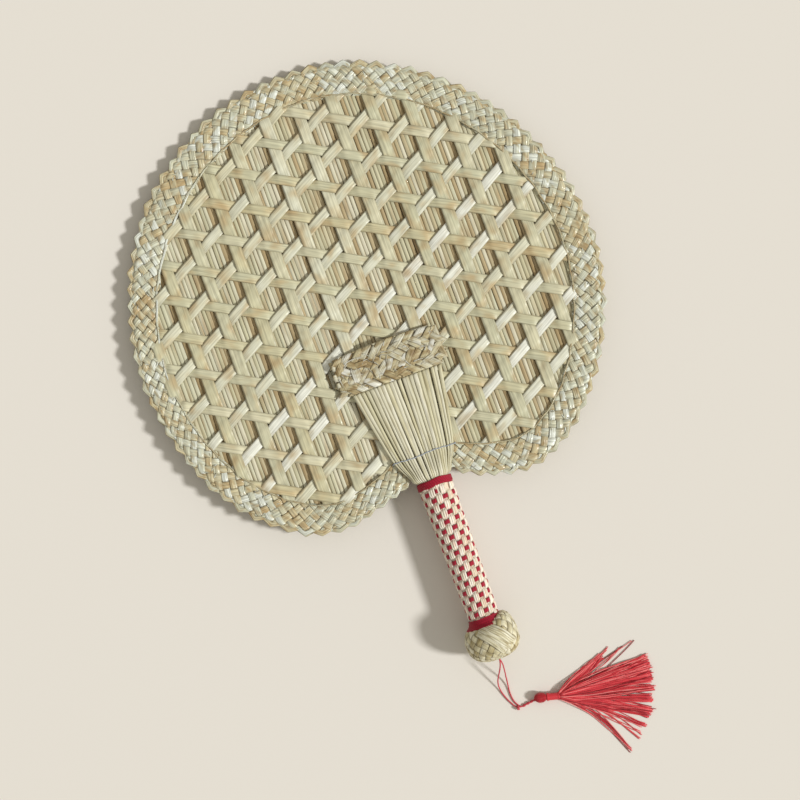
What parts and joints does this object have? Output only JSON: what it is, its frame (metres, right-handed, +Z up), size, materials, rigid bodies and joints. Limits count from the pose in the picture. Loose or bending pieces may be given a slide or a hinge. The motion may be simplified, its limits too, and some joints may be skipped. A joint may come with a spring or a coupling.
{
  "type": "woven straw fan",
  "caption": "Hand fan with a round woven straw blade, braided border, bound round handle, woven knob and a red cord tassel.",
  "frame": {"origin": "on the table, under the middle of the fan's bounding box without its cord and tassel", "axes": "+Y from the knob to the top of the blade, +Z up out of the fan's front, +X to the right of the front"},
  "size_m": [0.304, 0.4767, 0.0351],
  "materials": {
    "straw_mat": "satin straw",
    "border_straw": "satin straw",
    "weave_straw": "satin straw",
    "neck_straw": "satin straw",
    "patch_straw": "satin straw",
    "core_straw": "matt",
    "grip_straw": "satin straw",
    "knob_straw": "satin straw",
    "sewing_thread": "matt thread",
    "red_thread": "matt thread",
    "red_cord": "soft sheen thread",
    "tassel_thread": "soft sheen thread"
  },
  "bodies": {
    "fan": {"core_mat": "straw_mat", "front_border_braid": "border_straw", "back_border_braid": "border_straw", "front_upright_strip_01": "weave_straw", "front_upright_strip_02": "weave_straw", "front_upright_strip_03": "weave_straw", "front_upright_strip_04": "weave_straw", "front_upright_strip_05": "weave_straw", "front_upright_strip_06": "weave_straw", "front_upright_strip_07": "weave_straw", "front_upright_strip_08": "weave_straw", "front_upright_strip_09": "weave_straw", "front_upright_strip_10": "weave_straw", "front_upright_strip_11": "weave_straw", "front_falling_strip_01": "weave_straw", "front_falling_strip_02": "weave_straw", "front_falling_strip_03": "weave_straw", "front_falling_strip_04": "weave_straw", "front_falling_strip_05": "weave_straw", "front_falling_strip_06": "weave_straw", "front_falling_strip_07": "weave_straw", "front_falling_strip_08": "weave_straw", "front_falling_strip_09": "weave_straw", "front_falling_strip_10": "weave_straw", "front_falling_strip_11": "weave_straw", "front_falling_strip_12": "weave_straw", "front_rising_strip_01": "weave_straw", "front_rising_strip_02": "weave_straw", "front_rising_strip_03": "weave_straw", "front_rising_strip_04": "weave_straw", "front_rising_strip_05": "weave_straw", "front_rising_strip_06": "weave_straw", "front_rising_strip_07": "weave_straw", "front_rising_strip_08": "weave_straw", "front_rising_strip_09": "weave_straw", "front_rising_strip_10": "weave_straw", "front_rising_strip_11": "weave_straw", "front_rising_strip_12": "weave_straw", "back_weave": "weave_straw", "front_neck_straws": "neck_straw", "back_neck_straws": "neck_straw", "front_neck_thread": "sewing_thread", "back_neck_thread": "sewing_thread", "front_patch_braid": "patch_straw", "back_patch_braid": "patch_straw", "handle_core": "core_straw", "knob_core": "core_straw", "grip_sleeve": "grip_straw", "knob_cover": "knob_straw", "upper_red_band": "red_thread", "lower_red_band": "red_thread", "grip_weft_thread": "red_thread", "cord_anchor": "red_cord"},
    "cord_loop": {"left_loop_strand": "red_cord", "right_loop_strand": "red_cord", "loop_knot": "red_cord"},
    "tassel": {"twisted_cord": "red_cord", "tassel_head": "tassel_thread", "tassel_wrap": "tassel_thread", "tassel_skirt": "tassel_thread"}
  },
  "joints": [
    {"name": "loop_swing", "type": "hinge", "parent": "fan", "child": "cord_loop", "pos_m": [0, -0.19975, 0.01808], "axis": [0, 0, 1], "range_deg": [-45, 45]},
    {"name": "tassel_swing", "type": "hinge", "parent": "cord_loop", "child": "tassel", "pos_m": [0.0004, -0.23595, 0.0015], "axis": [0, 0, 1], "range_deg": [-60, 30]}
  ]
}
